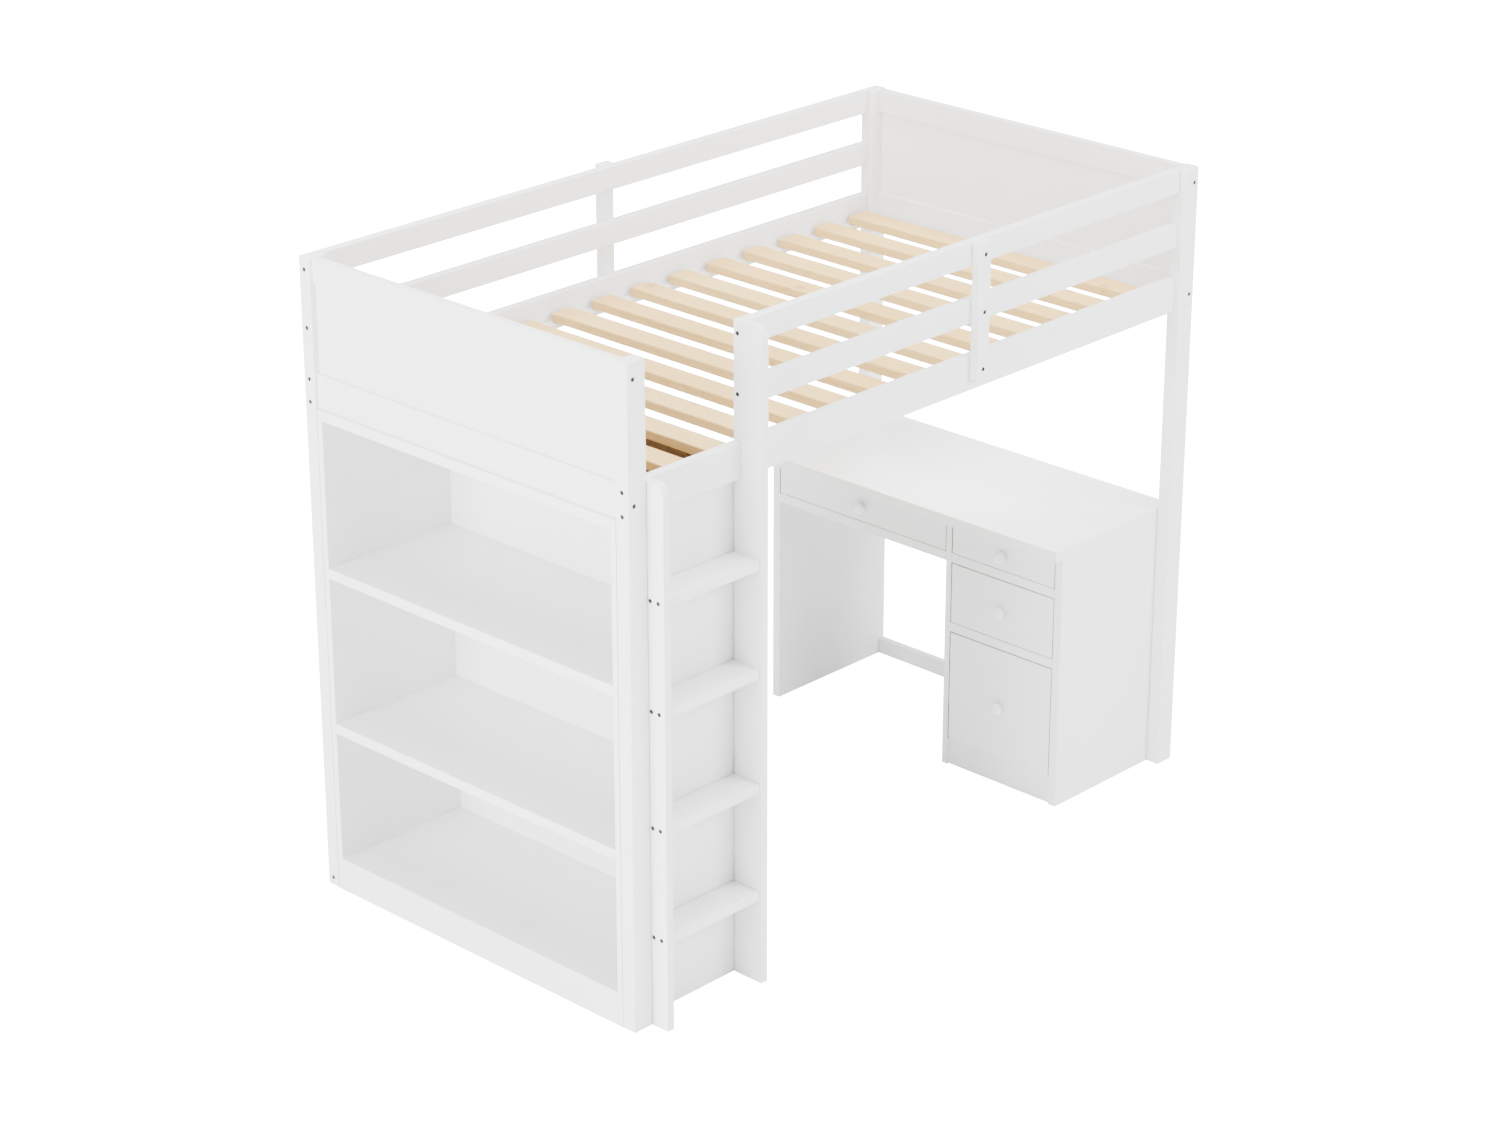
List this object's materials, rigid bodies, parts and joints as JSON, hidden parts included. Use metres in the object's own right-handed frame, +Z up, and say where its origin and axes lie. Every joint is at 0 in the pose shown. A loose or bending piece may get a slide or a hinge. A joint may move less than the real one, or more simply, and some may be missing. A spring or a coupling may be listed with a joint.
{
  "type": "loft bed with desk",
  "caption": "White wooden loft bed with a slatted deck, guard rails and a side ladder, over a bookcase at the foot and a desk with drawers at the head.",
  "frame": {"origin": "centre of the footprint, on the floor", "axes": "+X along the bed from the foot (bookcase) to the head (desk), +Y from the ladder side to the wall side, +Z up"},
  "size_m": [1.976, 1.1374, 1.612],
  "materials": {
    "white_paint": "white painted board, satin",
    "knob_paint": "turned wood, white painted, satin",
    "pine": "bare planed pine, matt"
  },
  "bodies": {
    "bed": {"bookcase_back": "white_paint", "bookcase_base": "white_paint", "bookcase_shelf_lower": "white_paint", "bookcase_shelf_upper": "white_paint", "bookcase_side_back": "white_paint", "bookcase_side_front": "white_paint", "bookcase_top": "white_paint", "desk_back_rail": "white_paint", "desk_drawer_shelf": "white_paint", "desk_leg_panel": "white_paint", "desk_stretcher": "white_paint", "desktop": "white_paint", "foot_end_panel": "white_paint", "guard_rail_back_low": "white_paint", "guard_rail_back_top": "white_paint", "guard_rail_front_low": "white_paint", "guard_rail_front_top": "white_paint", "guard_support_back": "white_paint", "guard_support_front": "white_paint", "head_end_panel": "white_paint", "ladder_rung_1": "white_paint", "ladder_rung_2": "white_paint", "ladder_rung_3": "white_paint", "ladder_rung_4": "white_paint", "ladder_stile_short": "white_paint", "ladder_stile_tall": "white_paint", "pedestal_back": "white_paint", "pedestal_base": "white_paint", "pedestal_divider_lower": "white_paint", "pedestal_divider_upper": "white_paint", "pedestal_side_inner": "white_paint", "pedestal_side_outer": "white_paint", "post_foot_back": "white_paint", "post_foot_front": "white_paint", "post_head_back": "white_paint", "post_head_front": "white_paint", "side_rail_back": "white_paint", "side_rail_front": "white_paint", "slat_01": "pine", "slat_02": "pine", "slat_03": "pine", "slat_04": "pine", "slat_05": "pine", "slat_06": "pine", "slat_07": "pine", "slat_08": "pine", "slat_09": "pine", "slat_10": "pine", "slat_11": "pine", "slat_12": "pine", "slat_13": "pine", "slat_14": "pine"},
    "wide_drawer": {"drawer_wide": "white_paint", "knob_wide": "knob_paint"},
    "top_drawer": {"drawer_top": "white_paint", "knob_top": "knob_paint"},
    "middle_drawer": {"drawer_middle": "white_paint", "knob_middle": "knob_paint"},
    "bottom_drawer": {"drawer_bottom": "white_paint", "knob_bottom": "knob_paint"}
  },
  "joints": [
    {"name": "wide_drawer_slide", "type": "slide", "parent": "bed", "child": "wide_drawer", "axis": [-1, 0, 0], "range_m": [0, 0.3]},
    {"name": "top_drawer_slide", "type": "slide", "parent": "bed", "child": "top_drawer", "axis": [-1, 0, 0], "range_m": [0, 0.3]},
    {"name": "middle_drawer_slide", "type": "slide", "parent": "bed", "child": "middle_drawer", "axis": [-1, 0, 0], "range_m": [0, 0.3]},
    {"name": "bottom_drawer_slide", "type": "slide", "parent": "bed", "child": "bottom_drawer", "axis": [-1, 0, 0], "range_m": [0, 0.3]}
  ]
}
